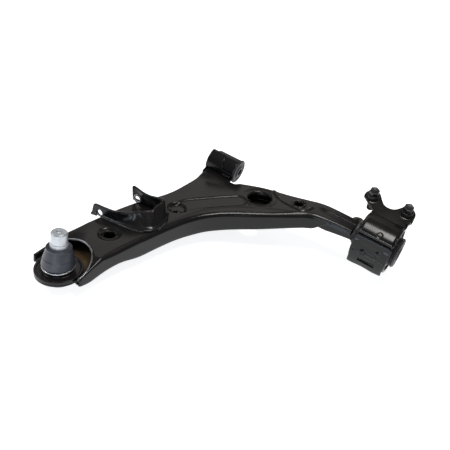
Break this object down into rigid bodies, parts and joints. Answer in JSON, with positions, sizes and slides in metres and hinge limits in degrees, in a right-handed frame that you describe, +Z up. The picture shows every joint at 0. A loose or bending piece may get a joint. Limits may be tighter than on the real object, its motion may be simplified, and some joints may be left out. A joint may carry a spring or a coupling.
{
  "type": "control arm",
  "caption": "Front lower control arm of two pressed shells, with a ball joint at one end, a plain bush at the front pivot and a bracketed rubber bush at the rear pivot.",
  "frame": {"origin": "bottom centre of the whole object's box; the ball joint housing's foot is at Z = 0", "axes": "+X along the pivot axis from the front bush to the rear bush; +Z up, as the ball stud points; the ball joint lies on the -Y side"},
  "size_m": [0.3892, 0.4066, 0.1093],
  "materials": {
    "black_paint": "gloss",
    "bracket_paint": "satin",
    "dark_steel": "satin",
    "zinc": "satin",
    "black_rubber": "satin",
    "boot_rubber": "satin",
    "liner_plastic": "matte"
  },
  "bodies": {
    "arm": {"upper_shell": "black_paint", "lower_shell": "black_paint", "link_bracket": "black_paint", "ball_joint_housing": "black_paint", "ball_joint_cover": "dark_steel", "boot_clamp_ring": "zinc", "boot_lower": "boot_rubber", "front_bush_tube": "black_paint", "front_bush_outer_sleeve": "dark_steel", "front_bush_rubber": "black_rubber", "rear_pin": "dark_steel", "rear_stop_washer": "dark_steel", "rear_bush_inner_sleeve": "dark_steel"},
    "ball_liner": {"ball_liner": "liner_plastic", "boot_upper": "boot_rubber"},
    "boot_seal_ring": {"boot_seal_ring": "boot_rubber"},
    "ball_stud": {"ball_stud": "zinc"},
    "front_bush_inner_sleeve": {"front_bush_inner_sleeve": "dark_steel"},
    "rear_bracket": {"rear_bush_rubber": "black_rubber", "rear_bush_outer_sleeve": "dark_steel", "rear_bracket_strap": "bracket_paint", "rear_bracket_saddle": "bracket_paint", "bolt_spacer_front": "dark_steel", "bracket_bolt_front": "dark_steel", "bolt_spacer_rear": "dark_steel", "bracket_bolt_rear": "dark_steel"}
  },
  "joints": [
    {"name": "stud_tilt_sideways", "type": "hinge", "parent": "arm", "child": "ball_liner", "pos_m": [-0.15326, -0.17176, 0.0213], "axis": [0.989, 0, 0.1478], "range_deg": [-14, 20], "deforming": ["boot_lower"]},
    {"name": "stud_tilt_lengthways", "type": "hinge", "parent": "ball_liner", "child": "boot_seal_ring", "pos_m": [-0.15326, -0.17176, 0.0213], "axis": [0, 1, 0], "range_deg": [-16, 16], "deforming": ["boot_upper"]},
    {"name": "stud_spin", "type": "hinge", "parent": "boot_seal_ring", "child": "ball_stud", "pos_m": [-0.15326, -0.17176, 0.0213], "axis": [-0.1471, 0.0958, 0.9845], "continuous": true},
    {"name": "front_bush_twist", "type": "hinge", "parent": "arm", "child": "front_bush_inner_sleeve", "pos_m": [-0.09344, 0.14374, 0.0557], "axis": [1, 0, 0], "range_deg": [-25, 25], "stiffness_Nm_per_rad": 1},
    {"name": "rear_bush_twist", "type": "hinge", "parent": "arm", "child": "rear_bracket", "pos_m": [0.15956, 0.14374, 0.0557], "axis": [1, 0, 0], "range_deg": [-20, 20], "stiffness_Nm_per_rad": 20}
  ]
}
